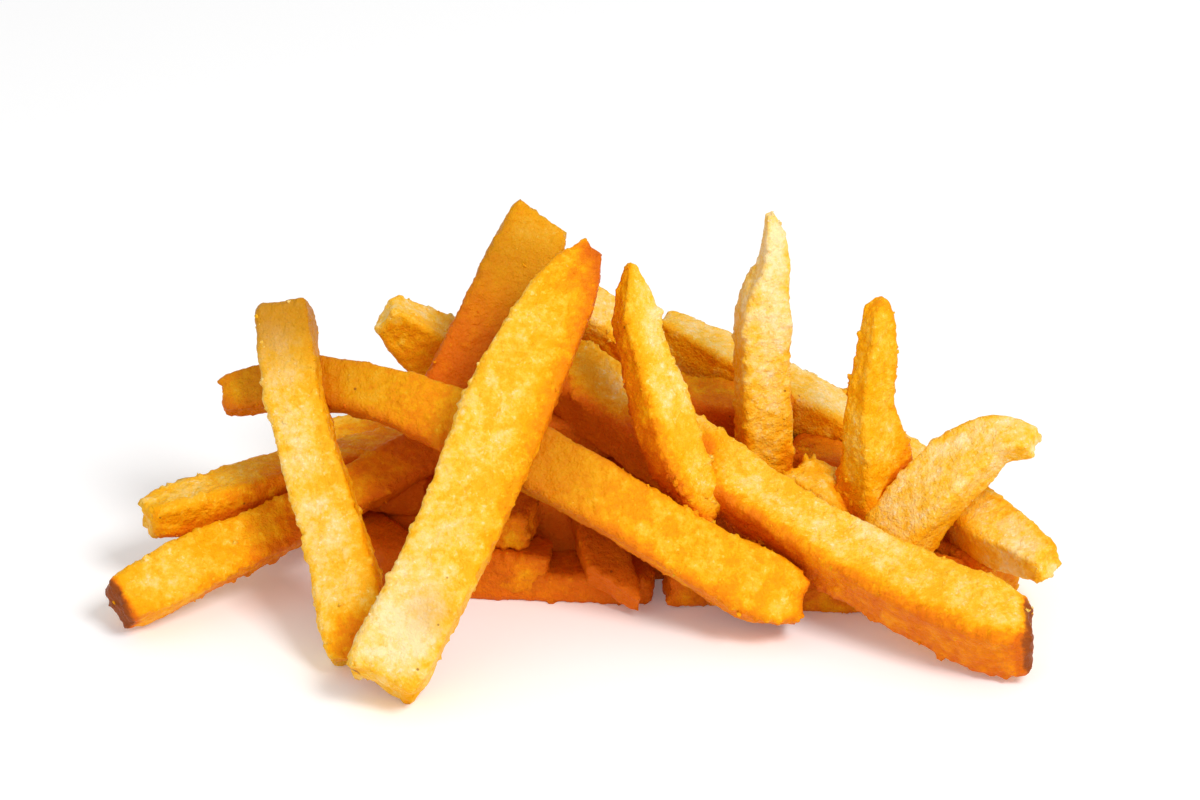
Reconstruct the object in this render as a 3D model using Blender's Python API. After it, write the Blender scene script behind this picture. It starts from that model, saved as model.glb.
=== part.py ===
"""A loose heap of thick, crisply coated french fries, lying as it was tipped out on a flat surface.

Every fry is a bent, slightly uneven stick with chamfered edges. The fries cross, lean and lie on each
other round a low mound in the middle of the heap, and the whole is joined to one closed solid that is
flat where it stands. Metres, +Z up, the viewer's side is -Y.
"""
import math
import random

import bmesh
import bpy
import numpy as np
from mathutils import Vector

MM = 0.001

# Driving dimensions, in millimetres
CUT = (6.8, 6.6)            # width and thickness of a fry that is given no size of its own
END_LENGTH = 0.9            # how far from its end a fry starts to round off
CHAMFER = 0.30              # chamfer of the long edges, as a share of half the thickness
RING_SPACING = 13.0         # usual distance between a fry's rings of corners
SLANT_POWER = 8             # how closely a slanted cut keeps to the fry's end
DIRECTION_STEP = 0.02       # share of the length over which a fry's direction is measured
UNEVEN_SIZE = 0.05          # share by which a fry's thickness wanders along its length
UNEVEN_SKIN = 0.15          # wander of each corner of the crust
MOUND_CENTRE = (0.0, 7.5)
MOUND_RADII = (36.0, 15.0)
MOUND_HEIGHT = 14.0
MOUND_SIDES = (20, 10)      # divisions round the mound and from its foot to its top
FLOOR_CUTTER = (200.0, 200.0, 20.0)
MERGE_DISTANCE = 0.01       # corners closer than this are one, once the fries are joined
CENTRE = (-0.2, 0.8)        # middle of the heap's outline on the floor, moved to the origin
SEED = 7

CRUST_COLOUR = (0.85, 0.42, 0.06, 1.0)
CRUST_ROUGHNESS = 0.55


class Fry:
    """One fry: its sections from foot to head. A section is a centre, and a width and thickness."""

    def __init__(self, name, *sections, roll=0.0, slants=(0.0, 0.0)):
        self.name = name
        self.rows = np.array([section if len(section) > 3 else (*section, *CUT) for section in sections])
        steps = np.linalg.norm(np.diff(self.rows[:, :3], axis=0), axis=1)
        self.length = steps.sum()
        self.marks = np.concatenate([[0.0], np.cumsum(steps)]) / self.length
        self.roll = math.radians(roll)
        self.slants = slants


FRONT_FRIES = (
    Fry("front_lean", (-26.0, -39.2, 4.0, 10.0, 8.6), (-18.4, -28.6, 15.7, 10.4, 8.8),
        (-5.0, -7.0, 38.5, 9.5, 8.0), (-1.3, -1.8, 43.3, 6.8, 6.0), (0.8, 0.8, 45.9, 3.2, 3.8), roll=26),
    Fry("left_lean", (-28.4, -29.8, 2.2, 9.6, 7.4), (-32.0, -20.3, 12.3, 8.2, 6.7),
        (-38.3, -6.8, 29.0, 7.3, 6.0), (-39.8, 0.0, 38.3, 7.2, 5.8), roll=-28),
    Fry("left_low", (-61.5, -20.6, 4.2, 6.6, 5.4), (-55.5, -16.8, 5.9, 7.6, 6.0),
        (-37.5, -5.5, 9.6, 6.2, 5.0), (-16.0, 6.0, 16.3, 7.0, 6.0), roll=42),
    Fry("left_mid", (-58.2, -9.0, 11.0, 5.0, 4.6), (-51.5, -6.0, 11.3, 6.5, 5.8),
        (-19.5, 9.0, 12.8, 6.0, 5.8)),
    Fry("long_arch", (-47.6, -0.5, 24.7, 4.8, 4.6), (-43.0, -1.0, 26.2, 5.8, 4.8),
        (-29.0, -4.6, 28.0, 6.8, 5.6), (-20.0, -7.8, 26.2, 8.1, 6.6), (1.0, -15.0, 18.6, 8.5, 6.9),
        (16.0, -19.2, 10.6, 8.4, 6.9), (24.0, -20.7, 6.8, 8.8, 7.2), (28.7, -21.3, 5.2, 5.8, 5.0), roll=50),
    Fry("right_long", (-4.5, 8.0, 25.0, 8.8, 8.0), (14.5, -5.6, 17.5, 9.0, 8.2),
        (31.0, -17.0, 11.8, 8.2, 7.2), (45.0, -25.5, 8.0, 9.8, 7.8), (54.0, -30.0, 6.4, 9.6, 8.4),
        (57.6, -31.6, 6.2, 7.4, 7.0), roll=21, slants=(0.0, 0.3)),
    Fry("pointed_front", (16.0, -13.6, 13.5, 5.4, 4.6), (11.3, -10.7, 23.7, 6.8, 5.5),
        (9.8, -9.2, 28.5, 6.8, 5.5), (8.2, -7.0, 33.3, 5.5, 4.5), (6.6, -4.2, 39.0, 5.4, 4.4),
        (6.2, -2.2, 43.4, 2.6, 2.4), (6.2, -1.6, 44.8, 1.2, 1.2)),
    Fry("bent", (40.0, -12.0, 7.6, 9.0, 5.6), (45.5, -10.2, 15.0, 8.8, 5.6), (50.8, -8.8, 20.4, 7.8, 5.2),
        (54.2, -9.0, 22.8, 6.0, 4.2), (59.2, -11.0, 23.5, 3.6, 3.2), roll=25),
    Fry("far_right", (45.0, 5.0, 9.6, 6.8, 6.0), (55.2, -11.8, 9.7, 7.2, 6.3),
        (60.8, -19.6, 10.1, 4.6, 4.2), roll=18),
    Fry("crust_lump", (27.5, -1.0, 12.8, 6.0, 5.6), (31.0, -3.0, 11.6, 7.0, 6.4), (35.4, -5.4, 9.6, 5.6, 5.0),
        roll=10),
)

TOP_FRIES = (
    Fry("top_lean", (-18.9, -2.2, 23.4, 8.5, 6.5), (-5.9, 14.3, 43.8, 8.7, 6.7), roll=36,
        slants=(0.0, -0.25)),
    Fry("top_left", (-27.0, 12.0, 30.8, 4.8, 4.8), (-22.4, 12.3, 27.0, 7.2, 7.0), (2.0, 14.0, 9.4, 6.3, 6.0),
        roll=5),
    Fry("behind_long", (-5.0, 15.4, 32.4, 6.4, 6.0), (1.0, 13.6, 29.8, 6.2, 5.8), (10.0, 9.6, 20.0, 6.0, 5.8),
        roll=15),
    Fry("pointed_tall", (24.5, 2.0, 8.5, 6.8, 6.0), (23.6, 3.4, 29.0, 6.5, 5.7), (23.7, 4.3, 36.0, 6.2, 5.4),
        (25.1, 5.0, 42.0, 3.6, 3.2), (24.9, 5.6, 46.4, 2.4, 2.2), (24.4, 6.0, 48.8, 1.3, 1.3), roll=12),
    Fry("short_upright", (38.2, -5.6, 9.5, 7.6, 6.4), (38.8, -4.8, 15.5, 8.2, 6.8),
        (37.8, -3.0, 25.0, 5.4, 4.6), (38.5, -1.3, 32.0, 4.4, 3.8), (38.8, -0.3, 37.4, 3.0, 2.8),
        (39.1, 0.0, 39.2, 1.6, 1.6), roll=28),
    Fry("back_long", (10.2, 25.0, 22.4, 4.6, 4.4), (17.5, 21.6, 18.6, 7.0, 7.4), (30.5, 16.2, 13.2, 7.6, 8.4),
        (46.5, 12.0, 4.6, 7.0, 6.8)),
)

BASE_FRIES = (
    Fry("base_end_upper", (-20.0, -5.5, 9.6, 6.4, 6.0), (-6.8, -8.2, 10.0, 6.4, 6.0), roll=5),
    Fry("base_end_lower", (-21.0, -7.5, 4.0, 6.0, 5.8), (-4.6, -9.6, 4.0, 6.0, 5.8)),
    Fry("base_leaf", (0.2, 3.0, 11.5, 6.4, 4.4), (2.6, -10.0, 6.0, 6.4, 4.6), (4.0, -15.6, 3.4, 6.4, 4.4),
        slants=(0.0, -1.2)),
    Fry("base_left", (-17.0, -8.0, 2.0, 7.0, 4.6), (9.0, -9.6, 2.0, 7.6, 4.6)),
    Fry("base_stub", (11.0, -12.2, 2.8, 5.4, 5.0), (33.0, -6.0, 3.0, 6.6, 6.4)),
    Fry("base_right", (27.0, -11.5, 3.1), (50.0, -13.5, 3.1)),
    Fry("base_far_right", (38.5, 5.0, 3.2), (56.0, -12.0, 3.2)),
    Fry("base_inner_left", (-38.0, 10.0, 3.0, 6.6, 6.6), (-24.0, -8.0, 3.0, 6.6, 6.6)),
)

BACK_FRIES = (
    Fry("floor_back_left", (-35.5, 15.0, 3.2, 7.0, 7.0), (-20.0, 21.5, 3.2, 7.4, 7.0),
        (-4.0, 27.0, 3.2, 7.0, 6.8)),
    Fry("floor_back", (0.0, 30.0, 3.2, 7.0, 6.8), (18.0, 27.0, 3.2, 7.4, 7.0), (36.0, 25.0, 3.2, 7.0, 7.0)),
    Fry("floor_middle", (-10.0, 7.0, 3.2, 7.0, 7.0), (32.0, 13.0, 3.2, 7.0, 7.0)),
    Fry("floor_rear", (4.0, 36.6, 3.0, 6.8, 6.6), (30.0, 32.3, 3.0, 6.2, 6.2)),
    Fry("floor_far_left", (-47.8, 5.0, 3.0, 6.6, 6.6), (-37.2, 19.5, 3.0, 6.2, 6.4)),
    Fry("second_far_left", (-42.0, 7.0, 9.0, 6.4, 6.2), (-20.0, 1.5, 9.6, 6.4, 6.2)),
    Fry("second_left", (-22.0, 25.0, 9.8), (10.0, 21.0, 10.1), roll=6),
    Fry("second_middle", (12.0, 34.0, 9.8), (26.0, 6.0, 10.1), roll=12),
    Fry("second_right", (23.0, 29.5, 9.6, 6.6, 6.4), (36.0, 22.5, 9.3, 6.0, 6.0), roll=10),
    Fry("second_inner", (6.0, 9.5, 10.0), (20.0, 1.5, 10.2)),
    Fry("second_left_inner", (-38.0, 13.0, 8.5), (-14.0, 19.0, 10.8), roll=8),
    Fry("second_right_inner", (28.0, 9.5, 9.6), (42.0, 3.5, 8.6)),
    Fry("third_inner", (-13.0, 3.5, 17.4, 6.6, 6.4), (8.0, 7.0, 16.4, 6.6, 6.4), roll=10),
    Fry("third_right", (6.0, 15.0, 16.4), (28.0, 11.0, 14.8), roll=12),
    Fry("third_back", (-18.0, 17.0, 16.8, 6.6, 6.4), (-6.0, 21.5, 16.9, 7.0, 6.6),
        (6.0, 24.8, 16.6, 6.4, 6.4), roll=14),
    Fry("back_lean", (-10.0, 41.5, 3.0, 7.2, 6.8), (-4.5, 24.5, 22.8, 6.4, 6.2), roll=16),
)


def new_collection(name):
    """A collection of its own in the scene."""
    collection = bpy.data.collections.new(name)
    bpy.context.scene.collection.children.link(collection)
    return collection


def new_object(name, mesh_builder, collection):
    """An object whose mesh is the finished bmesh."""
    mesh = bpy.data.meshes.new(name)
    mesh_builder.to_mesh(mesh)
    mesh_builder.free()
    item = bpy.data.objects.new(name, mesh)
    collection.objects.link(item)
    return item


def crust_material():
    """Golden, dry fried crust."""
    material = bpy.data.materials.new("Fried crust")
    material.use_nodes = True
    shader = material.node_tree.nodes["Principled BSDF"]
    shader.inputs["Base Color"].default_value = CRUST_COLOUR
    shader.inputs["Roughness"].default_value = CRUST_ROUGHNESS
    shader.inputs["Metallic"].default_value = 0.0
    material.diffuse_color = CRUST_COLOUR
    return material


def section_at(fry, share):
    """Centre, width and thickness at a share of the way along, on a smooth curve through the sections."""
    gaps = np.diff(fry.marks)
    slopes = np.diff(fry.rows, axis=0) / gaps[:, None]
    turns = np.empty_like(fry.rows)
    turns[0], turns[-1] = slopes[0], slopes[-1]
    for k in range(1, len(gaps)):
        turns[k] = (slopes[k - 1] * gaps[k] + slopes[k] * gaps[k - 1]) / (gaps[k - 1] + gaps[k])
    span = min(int(np.searchsorted(fry.marks, share, side="right")) - 1, len(gaps) - 1)
    gap = gaps[span]
    t = (share - fry.marks[span]) / gap
    rise = t * t * (3 - 2 * t)
    start, end = fry.rows[span], fry.rows[span + 1]
    bend = t * (1 - t) * gap * ((1 - t) * turns[span] - t * turns[span + 1])
    return start + (end - start) * rise + bend


def direction_at(fry, share):
    """The unit direction of the fry's centre line, from foot to head."""
    before = section_at(fry, max(share - DIRECTION_STEP, 0.0))[:3]
    after = section_at(fry, min(share + DIRECTION_STEP, 1.0))[:3]
    return Vector(after - before).normalized()


def ring_shares(fry):
    """Where a fry has its rings of corners: at its sections, and between those that lie far apart."""
    shares = [0.0]
    for first, last in zip(fry.marks[:-1], fry.marks[1:]):
        parts = max(1, round((last - first) * fry.length / RING_SPACING))
        shares += [first + (last - first) * (k + 1) / parts for k in range(parts)]
    shares[0] = END_LENGTH / fry.length
    shares[-1] = 1 - END_LENGTH / fry.length
    return shares


def stick_builder(rings):
    """A chamfered bar along X from -1 to 1, with evenly spaced rings of corners, in a bmesh."""
    builder = bmesh.new()
    bmesh.ops.create_cube(builder, size=2.0)
    bmesh.ops.bevel(builder, geom=builder.edges[:], offset=CHAMFER, offset_type="OFFSET", segments=1,
                    profile=0.5, affect="EDGES", material=-1)
    long_edges = []
    for edge in builder.edges:
        first, second = (corner.co.x for corner in edge.verts)
        if first * second < 0:
            long_edges.append(edge)
    bmesh.ops.subdivide_edges(builder, edges=long_edges, cuts=rings - 2, use_grid_fill=True)
    return builder


def fry_builder(fry, draw):
    """The fry's uneven stick, in millimetres, in a bmesh."""
    shares = ring_shares(fry)
    builder = stick_builder(len(shares))
    inner = 1 - CHAMFER
    level_side = direction_at(fry, 0.5).cross(Vector((0.0, 0.0, 1.0))).normalized()
    swells = [1 + draw.uniform(-UNEVEN_SIZE, UNEVEN_SIZE) for _ in shares]
    for corner in builder.verts:
        x, y, z = corner.co
        ring = round((min(max(x / inner, -1.0), 1.0) + 1) / 2 * (len(shares) - 1))
        is_cap = abs(x) > 1 - CHAMFER / 2
        share = (0.0 if x < 0 else 1.0) if is_cap else shares[ring]
        direction = direction_at(fry, share)
        flat = (level_side - direction * level_side.dot(direction)).normalized()
        up = flat.cross(direction)
        normal = up * math.cos(fry.roll) + flat * math.sin(fry.roll)
        side = flat * math.cos(fry.roll) - up * math.sin(fry.roll)
        section = section_at(fry, share)
        across = y * section[3] / 2 * swells[ring]
        above = z * section[4] / 2 * swells[ring]
        slant = fry.slants[0] * (1 - share) ** SLANT_POWER + fry.slants[1] * share ** SLANT_POWER
        wander = Vector([draw.uniform(-UNEVEN_SKIN, UNEVEN_SKIN) for _ in range(3)])
        place = Vector(section[:3]) + side * across + normal * above + direction * across * slant
        corner.co = (place + wander) * MM
    bmesh.ops.recalc_face_normals(builder, faces=builder.faces)
    bmesh.ops.triangulate(builder, faces=builder.faces)
    return builder


def mound_builder():
    """The low mound in the heap's middle, which the fries cover."""
    builder = bmesh.new()
    around, rise = MOUND_SIDES
    bmesh.ops.create_uvsphere(builder, u_segments=around, v_segments=rise, radius=1.0)
    size = Vector((MOUND_RADII[0], MOUND_RADII[1], MOUND_HEIGHT)) * MM
    bmesh.ops.scale(builder, vec=size, verts=builder.verts)
    middle = Vector((MOUND_CENTRE[0], MOUND_CENTRE[1], 0.0)) * MM
    bmesh.ops.translate(builder, vec=middle, verts=builder.verts)
    return builder


def floor_cutter(collection):
    """A block under the floor level, which cuts the heap flat where it stands."""
    builder = bmesh.new()
    bmesh.ops.create_cube(builder, size=1.0)
    bmesh.ops.scale(builder, vec=Vector(FLOOR_CUTTER) * MM, verts=builder.verts)
    bmesh.ops.translate(builder, vec=(0.0, 0.0, -FLOOR_CUTTER[2] / 2 * MM), verts=builder.verts)
    cutter = new_object("floor_cutter", builder, collection)
    cutter.hide_render = True
    cutter.display_type = "WIRE"
    return cutter


def join_and_cut(heap, loose_fries, cutter):
    """Unites the mound with every fry, cuts the foot flat and makes the result the heap's own mesh."""
    union = heap.modifiers.new("Join fries", "BOOLEAN")
    union.operation = "UNION"
    union.operand_type = "COLLECTION"
    union.collection = loose_fries
    union.solver = "EXACT"
    cut = heap.modifiers.new("Flat foot", "BOOLEAN")
    cut.operation = "DIFFERENCE"
    cut.object = cutter
    cut.solver = "EXACT"
    graph = bpy.context.evaluated_depsgraph_get()
    joined = bpy.data.meshes.new_from_object(heap.evaluated_get(graph))
    heap.modifiers.clear()
    heap.data = joined
    for item in list(loose_fries.objects):
        bpy.data.objects.remove(item, do_unlink=True)
    bpy.data.collections.remove(loose_fries)


def keep_outer_shell(heap):
    """Drops sealed hollows and scraps, so that one closed skin is left, and centres it on the origin."""
    builder = bmesh.new()
    builder.from_mesh(heap.data)
    bmesh.ops.remove_doubles(builder, verts=builder.verts, dist=MERGE_DISTANCE * MM)
    waiting = set(builder.faces)
    shells = []
    while waiting:
        start = waiting.pop()
        shell = [start]
        queue = [start]
        while queue:
            face = queue.pop()
            for edge in face.edges:
                for other in edge.link_faces:
                    if other in waiting:
                        waiting.remove(other)
                        shell.append(other)
                        queue.append(other)
        shells.append(shell)
    shells.sort(key=len)
    scraps = [face for shell in shells[:-1] for face in shell]
    bmesh.ops.delete(builder, geom=scraps, context="FACES")
    bmesh.ops.triangulate(builder, faces=builder.faces)
    bmesh.ops.translate(builder, vec=(-CENTRE[0] * MM, -CENTRE[1] * MM, 0.0), verts=builder.verts)
    builder.to_mesh(heap.data)
    builder.free()


def main():
    for item in list(bpy.data.objects):
        bpy.data.objects.remove(item, do_unlink=True)
    parts = new_collection("french_fries")
    cutters = new_collection("cutters")
    loose_fries = new_collection("loose_fries")
    heap = new_object("fries_heap", mound_builder(), parts)
    for number, fry in enumerate(FRONT_FRIES + TOP_FRIES + BASE_FRIES + BACK_FRIES):
        draw = random.Random(SEED + number)
        new_object(fry.name, fry_builder(fry, draw), loose_fries)
    join_and_cut(heap, loose_fries, floor_cutter(cutters))
    keep_outer_shell(heap)
    heap.data.materials.clear()
    heap.data.materials.append(crust_material())


main()
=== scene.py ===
"""Dresses a heap of french fries: every fry with its fried crust, the inner mound, loose crumbs and a stage.

The fries follow the same centre lines and sizes as the solid heap that they stand for. Their crust is
relief in the mesh, and its colours come from noise and from attributes that each fry's mesh carries,
which also hold painted shade where the heap hides the crust and on shaded faces.
"""
import math
import random

import bmesh
import bpy
import numpy as np
from bpy.props import FloatProperty, FloatVectorProperty, IntProperty, PointerProperty
from bpy.types import Operator, Panel, PropertyGroup
from mathutils import Euler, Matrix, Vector, noise
from mathutils.bvhtree import BVHTree


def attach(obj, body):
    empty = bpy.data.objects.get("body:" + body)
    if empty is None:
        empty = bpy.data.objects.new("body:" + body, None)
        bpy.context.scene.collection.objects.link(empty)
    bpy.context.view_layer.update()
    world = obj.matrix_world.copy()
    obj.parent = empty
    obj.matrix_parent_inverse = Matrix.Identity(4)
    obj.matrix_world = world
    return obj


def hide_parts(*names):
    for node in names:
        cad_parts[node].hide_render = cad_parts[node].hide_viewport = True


bl_info = {
    "name": "French Fries Heap",
    "version": (1, 0, 0),
    "blender": (4, 5, 0),
    "location": "3D View > Sidebar > Fries",
    "description": "Builds a heap of crisply coated french fries, its crumbs and a plain stage",
    "category": "Object",
}

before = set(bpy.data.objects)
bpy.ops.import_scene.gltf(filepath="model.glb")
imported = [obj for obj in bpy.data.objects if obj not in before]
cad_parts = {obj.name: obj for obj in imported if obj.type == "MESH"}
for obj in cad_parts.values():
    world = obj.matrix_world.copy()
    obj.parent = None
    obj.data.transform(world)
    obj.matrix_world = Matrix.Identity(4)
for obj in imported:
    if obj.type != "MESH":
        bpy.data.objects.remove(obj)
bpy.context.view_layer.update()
HEAP_NODE = "fries_heap"
MM = 0.001

# Places and sizes in millimetres
CENTRE = Vector((-0.2, 0.8, 0.0))       # middle of the heap's outline on the floor, moved to the origin
VIEW_CENTRE = Vector((2.0, 0.0, 24.0))  # what the camera looks at
CUT = (6.8, 6.6)                        # width and thickness of a fry that is given no size of its own
MOUND_CENTRE = (0.0, 7.5, 0.0)
MOUND_RADII = (35.5, 14.5, 13.5)
MOUND_LUMPS = (0.5, 2.5)                # height and size of the mound's lumps
WAVE_SIZES = (7.5, 3.2)                 # sizes of the relief's features, from the slowest to the finest
TORN_SIZE = 2.8
BUMP_SIZE = 2.0
BLISTER_SIZE = 1.9
CRAG_SIZE = 0.95
GRIT_SIZE = 0.62
EDGE_REACH = 1.9                        # how far from a long edge the ragged crust goes
END_REACH = 3.0                         # how far from its end a fry is torn and browned
BURNT_REACH = 1.8
CROWD_SIZE = 4.0                        # size of the places where crumbs gather
# Painted shade: rays from each point of the crust tell how much of the open the other fries hide it from, and
# hidden crust is painted browner
RAY_REACH = 22.0                        # how far a point of the crust looks for other fries
RAY_LIFT = 1.4                          # how far off the crust it starts to look

RAYS = 16
FLOOR_LIGHT = 0.5                       # how much a ray counts that meets the floor
GOLDEN_ANGLE = math.pi * (3 - math.sqrt(5))
SLANT_POWER = 8                         # how closely a slanted cut keeps to the fry's end
DIRECTION_STEP = 0.02                   # share of the length over which a fry's direction is measured
# The brown tone carries the crust's browning and also painted shade
TONES = ("brown", "edge", "burnt", "glassy")    # what the crust's colour is mixed from

# Noise in the crust's colour and grain: features in a metre
SLOW_SCALE = 130.0
SPECK_SCALE = 260.0
PALE_SCALE = 300.0
PATCH_SCALE = 360.0
FLECK_SCALE = 1300.0
FINE_SCALE = 1500.0
GRAIN_SCALES = (900.0, 3200.0)

# Lights: name, place and size in metres, and share of the key light's power
LIGHTS = (("key", (0.36, -0.45, 0.68), 0.28, 1.0), ("fill", (-0.5, -0.6, 0.5), 0.7, 0.15))


class Fry:
    """One fry in millimetres: sections from foot to head, and the look of its crust.

    A section is a centre, and a width and thickness. slants, brown and burnt each have a value for the foot
    and one for the head: how much of its width the end is cut aslant, how far browned it is, with painted
    shade where the fry runs in under the others, and how burnt. sides are painted shade, added to brown on
    the left and right faces. A glassy place is (share of the length, spread, amount),
    and a spot is (share, left to right, low to high, reach, tone, amount). rough scales the relief.
    """

    def __init__(self, name, *sections, roll=0.0, slants=(0.0, 0.0), brown=(0.3, 0.3), sides=(0.0, 0.0),
                 burnt=(0.0, 0.0), glassy=(), spots=(), rough=1.0):
        self.name = name
        self.rows = np.array([section if len(section) > 3 else (*section, *CUT) for section in sections])
        steps = np.linalg.norm(np.diff(self.rows[:, :3], axis=0), axis=1)
        self.length = steps.sum()
        self.marks = np.concatenate([[0.0], np.cumsum(steps)]) / self.length
        self.roll = math.radians(roll)
        self.slants = slants
        self.brown = brown
        self.sides = sides
        self.burnt = burnt
        self.glassy = glassy
        self.spots = spots
        self.rough = rough


LEANING_FRIES = (
    Fry("front_lean", (-26.0, -39.2, 4.0, 10.0, 8.6), (-18.4, -28.6, 15.7, 10.4, 8.8),
        (-5.0, -7.0, 38.5, 9.5, 8.0), (-1.3, -1.8, 43.3, 6.8, 6.0), (0.8, 0.8, 45.9, 3.2, 3.8), roll=26,
        brown=(0.04, 0.36), sides=(-0.05, 0.25),
        spots=((0.12, 0.6, 1.0, 9.0, "brown", -0.3), (0.16, 0.3, 1.0, 3.2, "glassy", 0.4),
               (0.0, -0.8, 0.2, 1.8, "burnt", 0.9), (0.97, 0.0, 1.0, 5.0, "brown", 0.28))),
    Fry("left_lean", (-28.4, -29.8, 2.2, 9.6, 7.4), (-32.0, -20.3, 12.3, 8.2, 6.7),
        (-38.3, -6.8, 29.0, 7.3, 6.0), (-39.8, 0.0, 38.3, 7.2, 5.8), roll=-28,
        brown=(0.04, 0.06), sides=(0.0, 0.2), glassy=((0.97, 0.15, 1.0),),
        spots=((0.05, 0.0, 1.0, 4.5, "brown", 0.5),)),
    Fry("top_lean", (-18.9, -2.2, 23.4, 8.5, 6.5), (-5.9, 14.3, 43.8, 8.7, 6.7), roll=36,
        slants=(0.0, -0.1), brown=(0.9, 0.2), sides=(0.08, 0.0), glassy=((0.72, 0.3, 0.8),)),
)

FRONT_CROSSING_FRIES = (
    Fry("left_low", (-61.5, -20.6, 4.2, 6.6, 5.4), (-55.5, -16.8, 5.9, 7.6, 6.0),
        (-37.5, -5.5, 9.6, 6.2, 5.0), (-16.0, 6.0, 16.3, 7.0, 6.0), roll=42,
        brown=(0.26, 0.5), sides=(0.0, 0.1), burnt=(1.0, 0.0)),
    Fry("left_mid", (-58.2, -9.0, 11.0, 5.0, 4.6), (-51.5, -6.0, 11.3, 6.5, 5.8),
        (-19.5, 9.0, 12.8, 6.0, 5.8), brown=(0.14, 0.5), sides=(0.0, 0.12)),
    Fry("long_arch", (-47.6, -0.5, 24.7, 4.8, 4.6), (-43.0, -1.0, 26.2, 5.8, 4.8),
        (-29.0, -4.6, 28.0, 6.8, 5.6), (-20.0, -7.8, 26.2, 8.1, 6.6), (1.0, -15.0, 18.6, 8.5, 6.9),
        (16.0, -19.2, 10.6, 8.4, 6.9), (24.0, -20.7, 6.8, 8.8, 7.2), (28.7, -21.3, 5.2, 5.8, 5.0), roll=50,
        brown=(0.45, 0.38), sides=(0.0, 0.12), glassy=((0.14, 0.16, 0.75), (0.53, 0.12, 0.8)),
        spots=((0.97, 0.5, 0.9, 2.0, "brown", -0.25),)),
    Fry("right_long", (-4.5, 8.0, 25.0, 8.8, 8.0), (14.5, -5.6, 17.5, 9.0, 8.2),
        (31.0, -17.0, 11.8, 8.2, 7.2), (45.0, -25.5, 8.0, 9.8, 7.8), (54.0, -30.0, 6.4, 9.6, 8.4),
        (57.6, -31.6, 6.2, 7.4, 7.0), roll=21, slants=(0.0, 0.3),
        brown=(0.2, 0.2), sides=(0.0, 0.4), burnt=(0.0, 1.0),
        spots=((0.34, 0.0, 1.0, 3.0, "brown", 0.35), (0.62, 0.0, 1.0, 8.0, "brown", -0.12))),
)

UPPER_CROSSING_FRIES = (
    Fry("top_left", (-27.0, 12.0, 30.8, 4.8, 4.8), (-22.4, 12.3, 27.0, 7.2, 7.0), (2.0, 14.0, 9.4, 6.3, 6.0),
        roll=5, brown=(0.08, 0.45), sides=(0.0, 0.1), rough=0.7),
    Fry("behind_long", (-5.0, 15.4, 32.4, 6.4, 6.0), (1.0, 13.6, 29.8, 6.2, 5.8), (10.0, 9.6, 20.0, 6.0, 5.8),
        roll=15, brown=(-0.2, 0.3), sides=(0.0, 0.05), rough=0.7),
    Fry("back_long", (10.2, 25.0, 22.4, 4.6, 4.4), (17.5, 21.6, 18.6, 7.0, 7.4), (30.5, 16.2, 13.2, 7.6, 8.4),
        (46.5, 12.0, 4.6, 7.0, 6.8), brown=(-0.03, 0.03), sides=(0.0, 0.15), rough=0.7),
)

UPRIGHT_FRIES = (
    Fry("pointed_front", (16.0, -13.6, 13.5, 5.4, 4.6), (11.3, -10.7, 23.7, 6.8, 5.5),
        (9.8, -9.2, 28.5, 6.8, 5.5), (8.2, -7.0, 33.3, 5.5, 4.5), (6.6, -4.2, 39.0, 5.4, 4.4),
        (6.2, -2.2, 43.4, 2.6, 2.4), (6.2, -1.6, 44.8, 1.2, 1.2), brown=(0.34, 0.04), sides=(0.25, -0.05)),
    Fry("pointed_tall", (24.5, 2.0, 8.5, 6.8, 6.0), (23.6, 3.4, 29.0, 6.5, 5.7), (23.7, 4.3, 36.0, 6.2, 5.4),
        (25.1, 5.0, 42.0, 3.6, 3.2), (24.9, 5.6, 46.4, 2.4, 2.2), (24.4, 6.0, 48.8, 1.3, 1.3), roll=12,
        brown=(0.2, -0.28), sides=(0.1, 0.1)),
    Fry("short_upright", (38.2, -5.6, 9.5, 7.6, 6.4), (38.8, -4.8, 15.5, 8.2, 6.8),
        (37.8, -3.0, 25.0, 5.4, 4.6), (38.5, -1.3, 32.0, 4.4, 3.8), (38.8, -0.3, 37.4, 3.0, 2.8),
        (39.1, 0.0, 39.2, 1.6, 1.6), roll=28, brown=(0.28, 0.32), sides=(0.0, 0.05)),
    Fry("bent", (40.0, -12.0, 7.6, 9.0, 5.6), (45.5, -10.2, 15.0, 8.8, 5.6), (50.8, -8.8, 20.4, 7.8, 5.2),
        (54.2, -9.0, 22.8, 6.0, 4.2), (59.2, -11.0, 23.5, 3.6, 3.2), roll=25, brown=(0.2, 0.0), rough=0.6),
    Fry("far_right", (45.0, 5.0, 9.6, 6.8, 6.0), (55.2, -11.8, 9.7, 7.2, 6.3),
        (60.8, -19.6, 10.1, 4.6, 4.2), roll=18, brown=(0.1, -0.05), sides=(0.3, 0.0), rough=0.7),
    Fry("crust_lump", (27.5, -1.0, 12.8, 6.0, 5.6), (31.0, -3.0, 11.6, 7.0, 6.4), (35.4, -5.4, 9.6, 5.6, 5.0),
        roll=10, brown=(0.15, 0.15), rough=1.8),
)

# The base fries' deep tones are mostly painted shade at the heap's foot; base_inner_left, deepest, darkens
# the hollow where it shows
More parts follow.
